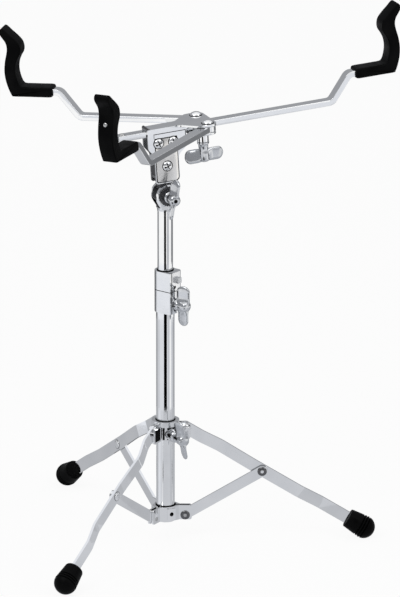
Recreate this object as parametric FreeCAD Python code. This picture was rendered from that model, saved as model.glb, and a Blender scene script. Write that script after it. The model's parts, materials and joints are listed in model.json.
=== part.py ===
import FreeCAD, Part
import math
import os
from FreeCAD import Placement, Rotation, Vector

os.makedirs("parts", exist_ok=True)

# All sizes are in millimetres and all angles in degrees.

# Fits
running_gap = 0.06
side_gap = 0.15
free_gap = 0.4

# Number of flats on small turned heads and on the boots
flats = 24

# Tubes
base_tube_radius = 19.05 / 2
upper_tube_radius = 15.9 / 2
tube_wall = 1.2
base_tube_top = 250.0
upper_tube_inside = 160.0
upper_tube_bottom = base_tube_top - upper_tube_inside

# Length of the tools that cut through holes
through = 120.0

# Tripod: leg and strut are equally long between their pivots, so the leg hub moves straight up
pivot_radius = 20.4
lower_pivot_height = 26.6
upper_pivot_height = 121.0
leg_rivet_radius = 99.7
strap_thickness = 2.6
leg_width = 12.7
strut_width = 11.0
strap_plane = -1.35
strut_offset = strap_plane
leg_offset_at_rivet = 1.85
leg_over_ball = 2.5
leg_end_offset = 6.6
pivot_pin_radius = 2.6
pivot_head_radius = 4.1
pivot_head_height = 1.7
strap_bend = 25.0

# Feet
foot_ball_radius = 13.0
foot_ball_sink = 0.7
foot_length = 20.0
foot_mouth_radius = 10.6

# Lower hub
hub_plate = 1.8
hub_below_pivot = 4.8
hub_above_pivot = 10.4
hub_bottom = lower_pivot_height - hub_below_pivot
hub_top = lower_pivot_height + hub_above_pivot
tube_below_hub = 1.8
base_tube_bottom = hub_bottom - tube_below_hub
hub_ear_reach = 27.2
hub_wrap_radius = 11.0
hub_pad_half = 4.6
hub_pad_reach = 13.4

# Leg hub
leg_hub_below_pivot = 12.5
leg_hub_above_pivot = 8.0
leg_hub_bottom = upper_pivot_height - leg_hub_below_pivot
leg_hub_top = upper_pivot_height + leg_hub_above_pivot
leg_hub_sleeve_radius = 12.3
leg_hub_flange_radius = 14.3
leg_hub_flange = 5.2
leg_ear = 2.0
leg_ear_rise = 5.5
leg_ear_reach = 26.6
leg_ear_drop = 13.5
leg_hub_boss_radius = 6.4
leg_hub_boss_reach = 20.5
leg_bolt_rise = 7.5
leg_hub_bolt_height = leg_hub_bottom + leg_bolt_rise
leg_hub_bolt_azimuth = -60.0

# Height clamp and memory lock
clamp_azimuth = -37.7
clamp_grip = 4.2
clamp_height = 23.9
clamp_bottom = base_tube_top - clamp_grip
clamp_top = clamp_bottom + clamp_height
lock_gap = 0.3
lock_height = 19.7
lock_bottom = clamp_top + lock_gap
lock_top = lock_bottom + lock_height
clamp_band_radius = 11.0
clamp_boss_reach = 15.0
clamp_boss_half = 7.2
clamp_plate = 2.4
clamp_far_half = 9.8
clamp_far_round = 5.0
clamp_slit = 1.2
clamp_bolt_rise = 9.2
clamp_bolt_height = clamp_bottom + clamp_bolt_rise
clamp_eye_radius = 1.75
clamp_eye_depth = 4.5
key_bolt_rise = 11.0
key_bolt_height = lock_bottom + key_bolt_rise

# Wing bolts
thread_radius = 4.0
wing_span_half = 21.0
wing_thickness = 4.2
wing_hub_radius = 5.4

# Tilter
mast_rise = 80.4
tilt_height = lock_top + mast_rise
fork_drop = 6.0
fork_base = tilt_height - fork_drop
neck_drop = 17.0
upper_tube_neck = tilt_height - neck_drop
fork_half_width = 12.2
fork_inner = 5.9
fork_outer = 9.4
tilter_half = 5.7
tilter_boss_radius = 10.4
tilter_tooth = 1.1
tilter_teeth = 28
tilter_top = 62.0
stem_back = -11.6
stem_front = 14.6
tilt_nut_flats = 13.0
tilt_nut = 6.0
ratchet_radius = 10.2
ratchet = 2.8

# Basket, in its own frame with the tilt pivot at the origin and the long arm along X
basket_azimuth = 23.1
basket_tilt = 3.6
arm_width = 11.0
arm_thickness = 6.0
arm_plane = 70.5
arm_pivot_x = 44.8
arm_pivot_y = 16.2
arm_eye_radius = 8.0
swing_angle = 38.1
swing_reach = 193.5
long_reach = 257.5
long_tail = -48.0
arm_bend = 7.5
bracket_sheet = 2.0
bracket_wall = 2.0
bracket_back = -18.0
cheek_low = 14.0
head_margin = 8.7
head_half = arm_pivot_y + head_margin
head_end = arm_pivot_x + head_margin
basket_plate = 2.5
dome_radius = 6.2
dome_height = 3.4
clamp_boss_radius = 6.0
clamp_boss_bottom = 49.0

# Grips, measured from the lower outer corner of the grip
grip_width = 17.6
grip_rise = 18.5
grip_pad = 10.0
grip_bar_back = 1.5
grip_bar_top = 50.0
grip_kink_back = 69.9
grip_foot_back = 49.4
grip_profile = [
    (0.0, 0.0, 4.0),
    (7.2, 20.0, 14.0),
    (2.4, 53.5, 12.0),
    (11.0, 68.5, 2.6),
    (5.6, 74.0, 2.6),
    (-14.4, 61.5, 7.0),
    (-15.6, 48.5, 6.0),
    (-6.2, 33.0, 12.0),
    (-8.4, 10.0, 6.0),
    (-27.0, 11.2, 40.0),
    (-43.2, 10.0, 2.6),
    (-43.2, 0.0, 2.6),
]

origin = Vector(0, 0, 0)
x_axis = Vector(1, 0, 0)
y_axis = Vector(0, 1, 0)
z_axis = Vector(0, 0, 1)


def save(name, shape):
    shape.exportStep("parts/" + name + ".step")


def box(x0, x1, y0, y1, z0, z1):
    return Part.makeBox(x1 - x0, y1 - y0, z1 - z0, Vector(x0, y0, z0))


def moved(shape, placement):
    copy = shape.copy()
    copy.Placement = placement.multiply(copy.Placement)
    return copy


def turned(shape, azimuth):
    return moved(shape, Placement(origin, Rotation(z_axis, azimuth)))


def on_xz(y):
    return lambda p: Vector(p.x, y, p.y)


def on_yz(x):
    return lambda p: Vector(x, p.x, p.y)


def on_xy(z):
    return lambda p: Vector(p.x, p.y, z)


def rounded_face(corners, plane):
    """A face from (u, v, radius) corners, each rounded by its radius."""
    count = len(corners)
    turns = []
    for i in range(count):
        u, v, radius = corners[i]
        here = Vector(u, v, 0)
        before = Vector(corners[i - 1][0], corners[i - 1][1], 0)
        after = Vector(corners[(i + 1) % count][0], corners[(i + 1) % count][1], 0)
        if radius <= 0:
            turns.append((here, None, here))
            continue
        back = (before - here).normalize()
        ahead = (after - here).normalize()
        half = back.getAngle(ahead) / 2
        reach = radius / math.tan(half)
        inward = (back + ahead).normalize()
        middle = here + inward * (radius / math.sin(half) - radius)
        turns.append((here + back * reach, middle, here + ahead * reach))
    edges = []
    for i in range(count):
        first, middle, last = turns[i]
        if middle is not None:
            edges.append(Part.Arc(plane(first), plane(middle), plane(last)).toShape())
        following = turns[(i + 1) % count][0]
        if (following - last).Length > 1e-5:
            edges.append(Part.makeLine(plane(last), plane(following)))
    return Part.Face(Part.Wire(edges))


def bent_face(path, bend, half, plane):
    """The side view of a strip that follows a path of (u, v) points with rounded bends."""
    points = [Vector(u, v, 0) for u, v in path]
    left = []
    right = []
    for i, point in enumerate(points):
        before = points[max(i - 1, 0)]
        after = points[min(i + 1, len(points) - 1)]
        inbound = point - before if i > 0 else after - point
        outbound = after - point if i < len(points) - 1 else point - before
        inbound.normalize()
        outbound.normalize()
        side_in = Vector(-inbound.y, inbound.x, 0)
        side_out = Vector(-outbound.y, outbound.x, 0)
        miter = (side_in + side_out) * (half / (1 + side_in.dot(side_out)))
        turn = inbound.cross(outbound).z
        radius = 0 if abs(turn) < 1e-6 else bend
        inner = radius - half if radius else 0
        outer = radius + half if radius else 0
        p = point + miter
        left.append((p.x, p.y, inner if turn > 0 else outer))
        p = point - miter
        right.append((p.x, p.y, outer if turn > 0 else inner))
    return rounded_face(left + right[::-1], plane)


def revolved_on_z(profile):
    """A solid from (radius, height) corners turned about the Z axis."""
    points = [Vector(r, 0, h) for r, h in profile]
    return Part.Face(Part.makePolygon(points + points[:1])).revolve(origin, z_axis, 360)


def faceted_on_z(profile):
    """A solid from (radius, height) rings about the Z axis, each ring a polygon of flats."""
    rings = []
    for radius, height in profile:
        ring = []
        for k in range(flats):
            angle = 2 * math.pi * k / flats
            ring.append(Vector(radius * math.cos(angle), radius * math.sin(angle), height))
        rings.append(ring + ring[:1])
    faces = [Part.Face(Part.makePolygon(rings[0])), Part.Face(Part.makePolygon(rings[-1]))]
    for low, high in zip(rings, rings[1:]):
        for k in range(flats):
            flat = [low[k], low[k + 1], high[k + 1], high[k], low[k]]
            faces.append(Part.Face(Part.makePolygon(flat)))
    return Part.Solid(Part.Shell(faces))


def dome(radius, height):
    """A domed head that stands on the XY plane."""
    crown = [(radius, 0)]
    for turn in (24, 48, 72):
        angle = math.radians(turn)
        crown.append((radius * math.cos(angle), height * math.sin(angle)))
    return faceted_on_z(crown)


def headed_pin(radius, head, height, low, high):
    """A pin along Z from low to high, riveted flush below and with a domed head on top."""
    shank = Part.makeCylinder(radius, high - low, Vector(0, 0, low))
    button = moved(dome(head, height), Placement(Vector(0, 0, high), Rotation()))
    return shank.fuse(button).removeSplitter()


def wing_bolt(shank, hub_length, lobe_start):
    """A wing bolt along X: seat at zero, shank towards minus X, wings along Z."""
    hub = faceted_on_z([
        (1.15 * wing_hub_radius, 0),
        (1.15 * wing_hub_radius, 1.6),
        (wing_hub_radius, 3.0),
        (0.86 * wing_hub_radius, hub_length - 2.0),
        (0.6 * wing_hub_radius, hub_length),
    ])
    hub.Placement = Placement(origin, Rotation(y_axis, 90))
    lobe_corners = [
        (lobe_start + 0.5, 0, 0),
        (lobe_start + 14.0, 0, 0),
        (lobe_start + 15.0, wing_span_half, 5.5),
        (lobe_start - 0.5, wing_span_half, 5.0),
    ]
    half = wing_thickness / 2
    lobe = rounded_face(lobe_corners, on_xz(-half)).extrude(Vector(0, wing_thickness, 0))
    other = moved(lobe, Placement(origin, Rotation(x_axis, 180)))
    rod = Part.makeCylinder(thread_radius, shank, Vector(-shank, 0, 0), x_axis)
    return hub.fuse([lobe, other, rod]).removeSplitter()


def around(shapes):
    """One shape that holds separate copies of each given solid at every third of a turn."""
    return Part.makeCompound([turned(s, 120 * k) for k in range(3) for s in shapes])


# Tubes
base_tube = Part.makeCylinder(
    base_tube_radius, base_tube_top - base_tube_bottom, Vector(0, 0, base_tube_bottom)
)
base_bore = Part.makeCylinder(base_tube_radius - tube_wall, base_tube_top, origin)
plug_height = 9.0
plug = Part.makeCylinder(base_tube_radius - tube_wall, plug_height, Vector(0, 0, base_tube_bottom))
base_tube = base_tube.cut(base_bore)
save("base_tube", base_tube)
save("tube_plug", plug)

# Lower hub: three pressed plates, each with an ear of two neighbouring clevises
ear_gap = strap_thickness / 2 + side_gap
ear_middle = ear_gap + hub_plate / 2
hub_height = hub_top - hub_bottom
bend_start = hub_wrap_radius + 1.8


def wrap_side(shift):
    """One side of a hub plate's outline: the two ear ends and the arc about the tube."""
    to_next = Rotation(z_axis, 120)
    near = strap_plane + ear_middle + shift
    far = strap_plane - ear_middle - shift
    first = Vector(hub_ear_reach, near, 0)
    second = Vector(bend_start + 1.7 * shift, near, 0)
    middle = Rotation(z_axis, 60).multVec(Vector(hub_wrap_radius + shift, 0, 0))
    third = to_next.multVec(Vector(second.x, far, 0))
    fourth = to_next.multVec(Vector(first.x, far, 0))
    return first, second, middle, third, fourth


outer_side = wrap_side(hub_plate / 2)
inner_side = wrap_side(-hub_plate / 2)
hub_edges = [
    Part.makeLine(outer_side[0], outer_side[1]),
    Part.Arc(outer_side[1], outer_side[2], outer_side[3]).toShape(),
    Part.makeLine(outer_side[3], outer_side[4]),
    Part.makeLine(outer_side[4], inner_side[4]),
    Part.makeLine(inner_side[4], inner_side[3]),
    Part.Arc(inner_side[3], inner_side[2], inner_side[1]).toShape(),
    Part.makeLine(inner_side[1], inner_side[0]),
    Part.makeLine(inner_side[0], outer_side[0]),
]
hub_piece = Part.Face(Part.Wire(hub_edges)).extrude(Vector(0, 0, hub_height))
hub_piece.translate(Vector(0, 0, hub_bottom))
corner_edges = []
for edge in hub_piece.Edges:
    spot = edge.CenterOfMass
    flat = math.hypot(spot.x, spot.y) > hub_ear_reach - 0.5
    if flat and edge.BoundBox.ZLength < 0.01 and abs(edge.Length - hub_plate) < 0.05:
        corner_edges.append(edge)
hub_piece = hub_piece.makeFillet(2.2, corner_edges)
pad = box(
    hub_wrap_radius, hub_pad_reach, -hub_pad_half, hub_pad_half, hub_bottom + 1.6, hub_top - 1.6
)
pad = turned(pad, 60)
ear_hole = Part.makeCylinder(pivot_pin_radius, 40, Vector(pivot_radius, -20, lower_pivot_height), y_axis)
hub_piece = hub_piece.fuse(pad).removeSplitter()
hub_piece = hub_piece.cut([ear_hole, turned(ear_hole, 120)])
for k, name in enumerate(["hub_plate_back", "hub_plate_left", "hub_plate_front"]):
    save(name, turned(hub_piece, 120 * k))
hub_pin = headed_pin(
    pivot_pin_radius, pivot_head_radius, pivot_head_height, -ear_gap - hub_plate, ear_gap + hub_plate
)
hub_pin.Placement = Placement(
    Vector(pivot_radius, strap_plane, lower_pivot_height), Rotation(x_axis, 90)
)
save("hub_pins", around([hub_pin]))

# Struts and legs, each built along X from its pivot and then laid at the tripod's slope
run = leg_rivet_radius - pivot_radius
half_rise = (upper_pivot_height - lower_pivot_height) / 2
link = math.hypot(run, half_rise)
slope = math.degrees(math.atan2(half_rise, run))
strap_half = strap_thickness / 2
ball_along = (upper_pivot_height - foot_ball_radius + foot_ball_sink) / math.sin(math.radians(slope))
leg_end = ball_along + leg_over_ball
foot_mouth = ball_along - foot_length


def strap(path, width, round_start, round_end):
    """A flat strip on edge that follows (along, sideways) points, with rounded ends."""
    body = bent_face(path, strap_bend, strap_half, on_xy(-width / 2)).extrude(Vector(0, 0, width))
    start = path[0][0]
    end = path[-1][0]
    corner_start = width / 2 - 0.01 if round_start else 0.4
    corner_end = width / 2 - 0.01 if round_end else 0.4
    view = [
        (start, -width / 2, corner_start),
        (end, -width / 2, corner_end),
        (end, width / 2, corner_end),
        (start, width / 2, corner_start),
    ]
    outline = rounded_face(view, on_xz(-20)).extrude(Vector(0, 40, 0))
    return body.common(outline)


def cross_hole(x, radius):
    return Part.makeCylinder(radius, through, Vector(x, -through / 2, 0), y_axis)


strut = strap(
    [
        (-strut_width / 2, strut_offset),
        (link + strut_width / 2, strut_offset),
    ],
    strut_width,
    True,
    True,
)
strut = strut.cut([
    cross_hole(0, pivot_pin_radius + running_gap),
    cross_hole(link, pivot_pin_radius + running_gap),
])
leg_path = [
    (-leg_width / 2, strap_plane),
    (19, strap_plane),
    (41, 4.2),
    (80, leg_offset_at_rivet),
    (137, leg_offset_at_rivet),
    (161, leg_end_offset),
    (leg_end, leg_end_offset),
]
leg = strap(leg_path, leg_width, True, False)
leg = leg.cut(cross_hole(0, pivot_pin_radius + running_gap))
rivet_end = strut_offset - strap_half
spacer_low = strut_offset + strap_half
spacer_length = leg_offset_at_rivet - spacer_low
spacer = Part.makeCylinder(pivot_head_radius + 0.6, spacer_length, Vector(link, spacer_low, 0), y_axis)
rivet = headed_pin(
    pivot_pin_radius, pivot_head_radius, pivot_head_height, -leg_offset_at_rivet, -rivet_end
)
rivet.Placement = Placement(Vector(link, 0, 0), Rotation(x_axis, 90))
riveted_leg = leg.fuse([spacer, rivet]).removeSplitter()

# The rubber foot is a tapered boot with a rounded end about the strap's end
foot_rings = [(foot_mouth_radius, foot_mouth), (foot_ball_radius - 0.4, ball_along - 2.0)]
for turn in (84, 56, 28, 8):
    angle = math.radians(turn)
    foot_rings.append((foot_ball_radius * math.sin(angle), ball_along + foot_ball_radius * math.cos(angle)))
foot = faceted_on_z(foot_rings)
foot.Placement = Placement(Vector(0, leg_end_offset, 0), Rotation(y_axis, 90))
foot = foot.cut(leg)

strut_lay = Placement(Vector(pivot_radius, 0, lower_pivot_height), Rotation(y_axis, -slope))
leg_lay = Placement(Vector(pivot_radius, 0, upper_pivot_height), Rotation(y_axis, slope))
floor_cut = box(-400, 400, -400, 400, -40, 0)
placed_foot = moved(foot, leg_lay).cut(floor_cut)
for k, side in enumerate(["right", "back", "front"]):
    save("strut_" + side, turned(moved(strut, strut_lay), 120 * k))
    save("leg_" + side, turned(moved(riveted_leg, leg_lay), 120 * k))
    save("foot_" + side, turned(placed_foot, 120 * k))

# Leg hub: sleeve with a top flange, three clevises and a bolt boss
leg_hub = revolved_on_z([
    (base_tube_radius + running_gap, leg_hub_bottom),
    (leg_hub_sleeve_radius, leg_hub_bottom),
    (leg_hub_sleeve_radius, leg_hub_top - leg_hub_flange),
    (leg_hub_flange_radius, leg_hub_top - leg_hub_flange),
    (leg_hub_flange_radius, leg_hub_top),
    (base_tube_radius + running_gap, leg_hub_top),
])
ear_root = base_tube_radius + 0.8
ear_view = [
    (ear_root, upper_pivot_height + leg_ear_rise, 0),
    (leg_ear_reach - 2.6, upper_pivot_height + leg_ear_rise, 5.0),
    (leg_ear_reach, upper_pivot_height - 2.0, 0),
    (leg_ear_reach - 1.2, upper_pivot_height - leg_ear_drop, 4.0),
    (ear_root, leg_hub_bottom, 0),
]
ears = []
for low in (strap_plane + ear_gap, strap_plane - ear_gap - leg_ear):
    ears.append(rounded_face(ear_view, on_xz(low)).extrude(Vector(0, leg_ear, 0)))
ears = [turned(ear, 120 * k) for k in range(3) for ear in ears]
bolt_out = Rotation(z_axis, leg_hub_bolt_azimuth).multVec(x_axis)
bolt_spot = Vector(0, 0, leg_hub_bolt_height)
boss_start = ear_root
leg_boss = Part.makeCylinder(
    leg_hub_boss_radius, leg_hub_boss_reach - boss_start, bolt_spot + bolt_out * boss_start, bolt_out
)
leg_hub = leg_hub.fuse(ears + [leg_boss]).removeSplitter()
bolt_hole = Part.makeCylinder(thread_radius + running_gap, through, bolt_spot, bolt_out)
leg_pin = headed_pin(
    pivot_pin_radius, pivot_head_radius, pivot_head_height, -ear_gap - leg_ear / 2, ear_gap + leg_ear
)
leg_pin.Placement = Placement(Vector(pivot_radius, strap_plane, upper_pivot_height), Rotation(x_axis, 90))
leg_pins = [turned(leg_pin, 120 * k) for k in range(3)]
leg_hub = leg_hub.cut(bolt_hole).fuse(leg_pins).removeSplitter()
save("leg_hub", leg_hub)
leg_wing_seat = leg_hub_boss_reach + free_gap
leg_wing = wing_bolt(leg_wing_seat - base_tube_radius - free_gap, 21.0, 8.0)
leg_wing_tip = 11.0
leg_wing = moved(leg_wing, Placement(origin, Rotation(x_axis, leg_wing_tip)))
leg_wing = moved(leg_wing, Placement(Vector(leg_wing_seat, 0, leg_hub_bolt_height), Rotation()))
save("leg_wing_bolt", turned(leg_wing, leg_hub_bolt_azimuth))


def clamp_block(low, high, bore, eye_height, eye_side):
    """A band about the tube with a bolt boss along X and a flat wrap on its near side."""
    band = Part.makeCylinder(clamp_band_radius, high - low, Vector(0, 0, low))
    boss = box(0, clamp_boss_reach, -clamp_boss_half, clamp_far_half, low, high)
    far_edges = []
    for edge in boss.Edges:
        spot = edge.CenterOfMass
        if edge.BoundBox.ZLength > 1 and spot.x > 1 and spot.y > 0:
            far_edges.append(edge)
    boss = boss.makeFillet(clamp_far_round, far_edges)
    wrap_low = -clamp_boss_half - clamp_slit
    wrap = box(0, clamp_boss_reach, wrap_low - clamp_plate, wrap_low, low, high)
    block = band.fuse([boss, wrap]).removeSplitter()
    hole = Part.makeCylinder(bore, high - low + 2, Vector(0, 0, low - 1))
    eye_spot = Vector(clamp_boss_reach - clamp_eye_depth, eye_side, eye_height)
    eye = Part.makeCylinder(clamp_eye_radius, clamp_eye_depth, eye_spot, x_axis)
    return block.cut([hole, eye])


clamp = clamp_block(clamp_bottom, clamp_top, base_tube_radius, clamp_bottom + 4.2, -2.6)
clamp_hole = Part.makeCylinder(thread_radius + running_gap, through, Vector(0, 0, clamp_bolt_height), x_axis)
save("height_clamp", turned(clamp.cut(clamp_hole), clamp_azimuth))
bush = Part.makeCylinder(base_tube_radius, clamp_top - base_tube_top, Vector(0, 0, base_tube_top))
bush = bush.cut(Part.makeCylinder(upper_tube_radius + running_gap, through, Vector(0, 0, base_tube_top - 5)))
save("clamp_bush", bush)
height_seat = clamp_boss_reach + free_gap
height_wing = wing_bolt(height_seat - base_tube_radius - free_gap, 15.0, 4.5)
height_wing = moved(height_wing, Placement(Vector(height_seat, 0, clamp_bolt_height), Rotation()))
save("height_wing_bolt", turned(height_wing, clamp_azimuth))

lock = clamp_block(lock_bottom, lock_top, upper_tube_radius + running_gap, lock_bottom + 4.0, -2.8)
key_spot = Vector(upper_tube_radius + free_gap, 1.0, key_bolt_height)
key_radius = 2.4
key_shank = Part.makeCylinder(key_radius, clamp_boss_reach - key_spot.x, key_spot, x_axis)
save("memory_lock", turned(lock.cut(key_shank), clamp_azimuth))
key_half = 2.8
key_end = clamp_boss_reach + 3.6
key_head = box(
    clamp_boss_reach,
    key_end,
    key_spot.y - key_half,
    key_spot.y + key_half,
    key_spot.z - key_half,
    key_spot.z + key_half,
)
key_bolt = key_shank.fuse(key_head).removeSplitter()
save("memory_key_bolt", turned(key_bolt, clamp_azimuth))


# Upper tube, with the tilter fork plugged into its top
tube = Part.makeCylinder(
    upper_tube_radius, upper_tube_neck - upper_tube_bottom, Vector(0, 0, upper_tube_bottom)
)
spigot_radius = upper_tube_radius - tube_wall
tube_bore = Part.makeCylinder(spigot_radius, upper_tube_neck, Vector(0, 0, upper_tube_bottom - 1))
save("upper_tube", tube.cut(tube_bore))
neck_radius = upper_tube_radius + 0.3
neck_top = upper_tube_neck + 4
fork_top = tilt_height + fork_half_width
fork_front = [
    (-neck_radius, upper_tube_neck, 0),
    (neck_radius, upper_tube_neck, 0),
    (neck_radius, neck_top, 12),
    (fork_half_width, fork_base, 12),
    (fork_half_width, fork_top, fork_half_width - 0.01),
    (-fork_half_width, fork_top, fork_half_width - 0.01),
    (-fork_half_width, fork_base, 12),
    (-neck_radius, neck_top, 12),
]
fork_side = [
    (-neck_radius, upper_tube_neck, 0),
    (neck_radius, upper_tube_neck, 0),
    (neck_radius, neck_top, 0),
    (fork_outer, fork_base - 3, 0),
    (fork_outer, fork_top, 0),
    (-fork_outer, fork_top, 0),
    (-fork_outer, fork_base - 3, 0),
    (-neck_radius, neck_top, 0),
]
fork_corner = math.hypot(fork_half_width, fork_outer)
fork_body = rounded_face(fork_front, on_xz(-30)).extrude(Vector(0, 60, 0))
fork_body = fork_body.common(rounded_face(fork_side, on_yz(-30)).extrude(Vector(60, 0, 0)))
fork_body = fork_body.common(faceted_on_z([
    (neck_radius + 0.1, upper_tube_neck),
    (neck_radius + 0.1, upper_tube_neck + 2),
    (fork_corner - 0.8, fork_base + 3),
    (fork_corner - 0.8, fork_top),
]))
spigot_length = 22.0
spigot = Part.makeCylinder(spigot_radius, spigot_length + 4, Vector(0, 0, upper_tube_neck - spigot_length))
fork_floor = tilt_height - tilter_boss_radius - 2.4
fork_slot = box(-40, 40, -fork_inner, fork_inner, fork_floor, tilt_height + 60)
fork_hole_start = Vector(0, -through / 2, tilt_height)
fork_hole = Part.makeCylinder(thread_radius + running_gap, through, fork_hole_start, y_axis)
fork = fork_body.fuse(spigot).removeSplitter().cut([fork_slot, fork_hole])
save("tilt_fork", turned(fork, basket_azimuth))
nut_corner = tilt_nut_flats / math.sqrt(3)
nut_points = []
for k in range(6):
    angle = math.radians(60 * k)
    nut_points.append(Vector(nut_corner * math.cos(angle), 0, nut_corner * math.sin(angle)))
tilt_nut_body = Part.Face(Part.makePolygon(nut_points + nut_points[:1])).extrude(Vector(0, tilt_nut, 0))
tilt_nut_body.translate(Vector(0, fork_outer, tilt_height))
tilt_nut_body = tilt_nut_body.cut(fork_hole)
save("tilt_nut", turned(tilt_nut_body, basket_azimuth))
ratchet_points = []
for k in range(2 * tilter_teeth):
    angle = math.pi * k / tilter_teeth
    radius = ratchet_radius - tilter_tooth * (k % 2)
    ratchet_points.append(Vector(radius * math.cos(angle), -fork_outer, radius * math.sin(angle)))
ratchet_face = Part.Face(Part.makePolygon(ratchet_points + ratchet_points[:1]))
ratchet_disc = ratchet_face.extrude(Vector(0, -ratchet, 0))
ratchet_disc.translate(Vector(0, 0, tilt_height))
save("tilt_ratchet", turned(ratchet_disc.cut(fork_hole), basket_azimuth))
tilt_seat = fork_outer + ratchet + free_gap
tilt_wing = wing_bolt(tilt_seat + fork_outer + tilt_nut + 2.0, 17.0, 4.0)
tilt_wing_tip = -9.0
tilt_wing = moved(tilt_wing, Placement(origin, Rotation(x_axis, tilt_wing_tip)))
tilt_wing = moved(tilt_wing, Placement(Vector(0, -tilt_seat, tilt_height), Rotation(z_axis, -90)))
save("tilt_wing_bolt", turned(tilt_wing, basket_azimuth))

# Basket: built level in its own frame, then tilted and turned onto the fork
basket_lay = Placement(Vector(0, 0, tilt_height), Rotation(z_axis, basket_azimuth))
basket_lay = basket_lay.multiply(Placement(origin, Rotation(y_axis, -basket_tilt)))


def save_basket(name, shape):
    save(name, moved(shape, basket_lay))


tooth_points = []
for k in range(2 * tilter_teeth):
    angle = math.pi * k / tilter_teeth
    radius = tilter_boss_radius - tilter_tooth * (k % 2)
    tooth_points.append(Vector(radius * math.cos(angle), -tilter_half, radius * math.sin(angle)))
toothed = Part.Face(Part.makePolygon(tooth_points + tooth_points[:1])).extrude(Vector(0, 2 * tilter_half, 0))
stem_view = [
    (-7.5, 0, 0),
    (7.5, 0, 0),
    (8.5, 16, 6),
    (stem_front, 22, 6),
    (stem_front, tilter_top, 2),
    (stem_back, tilter_top, 2),
    (stem_back, 22, 6),
    (-7.5, 16, 6),
]
stem = rounded_face(stem_view, on_xz(-tilter_half)).extrude(Vector(0, 2 * tilter_half, 0))
tilter_arm = toothed.fuse(stem).removeSplitter()
tilter_arm = tilter_arm.cut(cross_hole(0, thread_radius + running_gap))
save_basket("tilter_arm", tilter_arm)

# Bracket: two cheeks and a flared cover over the arm pivots
cheek_inner = arm_width / 2 + 2 * side_gap
cheek_outer = cheek_inner + bracket_wall
cover_low = arm_plane + free_gap
cover_high = cover_low + bracket_sheet
cheek_view = [
    (stem_back, cheek_low, 2),
    (stem_front, cheek_low, 6),
    (stem_front, 42, 8),
    (24.0, 50, 5),
    (24.0, cover_high, 0),
    (bracket_back, cover_high, 0),
    (bracket_back, 52, 4),
    (stem_back, 44, 4),
]
cover_view = [
    (bracket_back, -cheek_outer, 1.0),
    (18, -cheek_outer, 8),
    (35, -head_half, 7),
    (head_end, -head_half, 8),
    (head_end, head_half, 8),
    (35, head_half, 7),
    (18, cheek_outer, 8),
    (bracket_back, cheek_outer, 1.0),
]
plate_view = [
    (26, -10, 0),
    (35, -head_half + 1, 6),
    (head_end - 0.6, -head_half + 1, 8),
    (head_end - 0.6, head_half - 1, 8),
    (35, head_half - 1, 6),
    (26, 10, 0),
]
cover = rounded_face(cover_view, on_xy(cover_low)).extrude(Vector(0, 0, bracket_sheet))
cheeks = []
for low in (cheek_inner, -cheek_outer):
    cheeks.append(rounded_face(cheek_view, on_xz(low)).extrude(Vector(0, bracket_wall, 0)))
arm_low = arm_plane - arm_thickness
plate_high = arm_low - free_gap
plate_low = plate_high - basket_plate
bracket = cover.fuse(cheeks).removeSplitter()
pivot_spots = [Vector(arm_pivot_x, arm_pivot_y, 0), Vector(arm_pivot_x, -arm_pivot_y, 0)]
pin_holes = [Part.makeCylinder(thread_radius, through, spot) for spot in pivot_spots]
bracket = bracket.cut(pin_holes)
save_basket("basket_bracket", bracket)
basket_plate_body = rounded_face(plate_view, on_xy(plate_low)).extrude(Vector(0, 0, basket_plate))
clamp_axis = Vector(arm_pivot_x, 0, 0)
clamp_bore = Part.makeCylinder(thread_radius + running_gap, through, clamp_axis)
basket_plate_body = basket_plate_body.cut(pin_holes + [clamp_bore])
save_basket("basket_plate", basket_plate_body)
clamp_boss = Part.makeCylinder(
    clamp_boss_radius, plate_low - clamp_boss_bottom, clamp_axis + Vector(0, 0, clamp_boss_bottom)
)
save_basket("clamp_boss", clamp_boss.cut(clamp_bore))
for name, spot in zip(["pivot_rivet_back", "pivot_rivet_front"], pivot_spots):
    head = moved(dome(dome_radius, dome_height), Placement(spot + Vector(0, 0, cover_high), Rotation()))
    shank = Part.makeCylinder(thread_radius, cover_high - plate_low, spot + Vector(0, 0, plate_low))
    save_basket(name, shank.fuse(head).removeSplitter())
basket_seat = clamp_boss_bottom - free_gap
basket_wing = wing_bolt(arm_low - free_gap - basket_seat, 21.0, 8.0)
basket_wing = moved(basket_wing, Placement(Vector(arm_pivot_x, 0, basket_seat), Rotation(y_axis, 90)))
save_basket("basket_wing_bolt", basket_wing)

# Arms and grips, built along X with the arm's top face at zero height
arm_half = arm_thickness / 2
bar_level = grip_rise + grip_pad / 2


def arm_and_grip(start, reach):
    """A flat bar from start to its turned-up end, and the grip on it."""
    end = reach - grip_bar_back
    path = [
        (start, -arm_half),
        (reach - grip_kink_back, -arm_half),
        (reach - grip_foot_back, bar_level),
        (end, bar_level),
        (end, grip_rise + grip_bar_top),
    ]
    bar = bent_face(path, arm_bend, arm_half, on_xz(-arm_width / 2)).extrude(Vector(0, arm_width, 0))
    corners = [(reach + a, grip_rise + h, r) for a, h, r in grip_profile]
    grip = rounded_face(corners, on_xz(-grip_width / 2)).extrude(Vector(0, grip_width, 0))
    return bar, grip.cut(bar)


def swing_arm():
    bar, grip = arm_and_grip(0.0, swing_reach)
    eye = Part.makeCylinder(arm_eye_radius, arm_thickness, Vector(0, 0, -arm_thickness))
    bar = bar.fuse(eye).removeSplitter()
    hole = Part.makeCylinder(thread_radius + running_gap, 40, Vector(0, 0, -20))
    return bar.cut(hole), grip


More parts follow.
